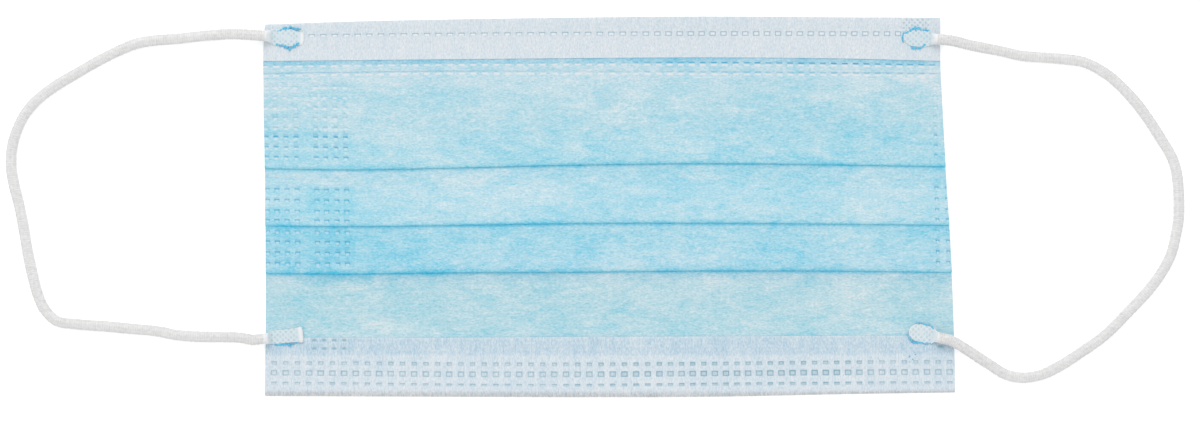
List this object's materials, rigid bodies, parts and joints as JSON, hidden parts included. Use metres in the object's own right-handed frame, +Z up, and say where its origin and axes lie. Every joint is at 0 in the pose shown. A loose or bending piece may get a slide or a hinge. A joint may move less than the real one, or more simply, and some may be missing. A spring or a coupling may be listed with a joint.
{
  "type": "surgical face mask",
  "caption": "Pleated rectangular cloth face mask lying flat, with a white band folded over each long edge and a soft elastic ear loop at each side.",
  "frame": {"origin": "middle of the footprint of the mask body, on the surface that it lies on; the ear loops are not counted", "axes": "+X along the mask's width, towards the wearer's left as seen from the front; +Y towards the top edge; +Z up, out of the mask's front"},
  "size_m": [0.3011, 0.0974, 0.006],
  "materials": {
    "blue_cloth": "matte pale blue bonded nonwoven cloth with faint streaks across",
    "white_band": "matte cool white bonded nonwoven cloth with rows of pressed marks",
    "elastic_cord": "soft white knitted elastic cord with a fine fuzz"
  },
  "bodies": {
    "root": {"pleated_body": "blue_cloth", "top_binding": "white_band", "bottom_binding": "white_band", "cord_end_top_left": "elastic_cord", "cord_end_bottom_left": "elastic_cord", "cord_end_top_right": "elastic_cord", "cord_end_bottom_right": "elastic_cord", "left_ear_loop": "elastic_cord", "right_ear_loop": "elastic_cord"}
  },
  "joints": []
}
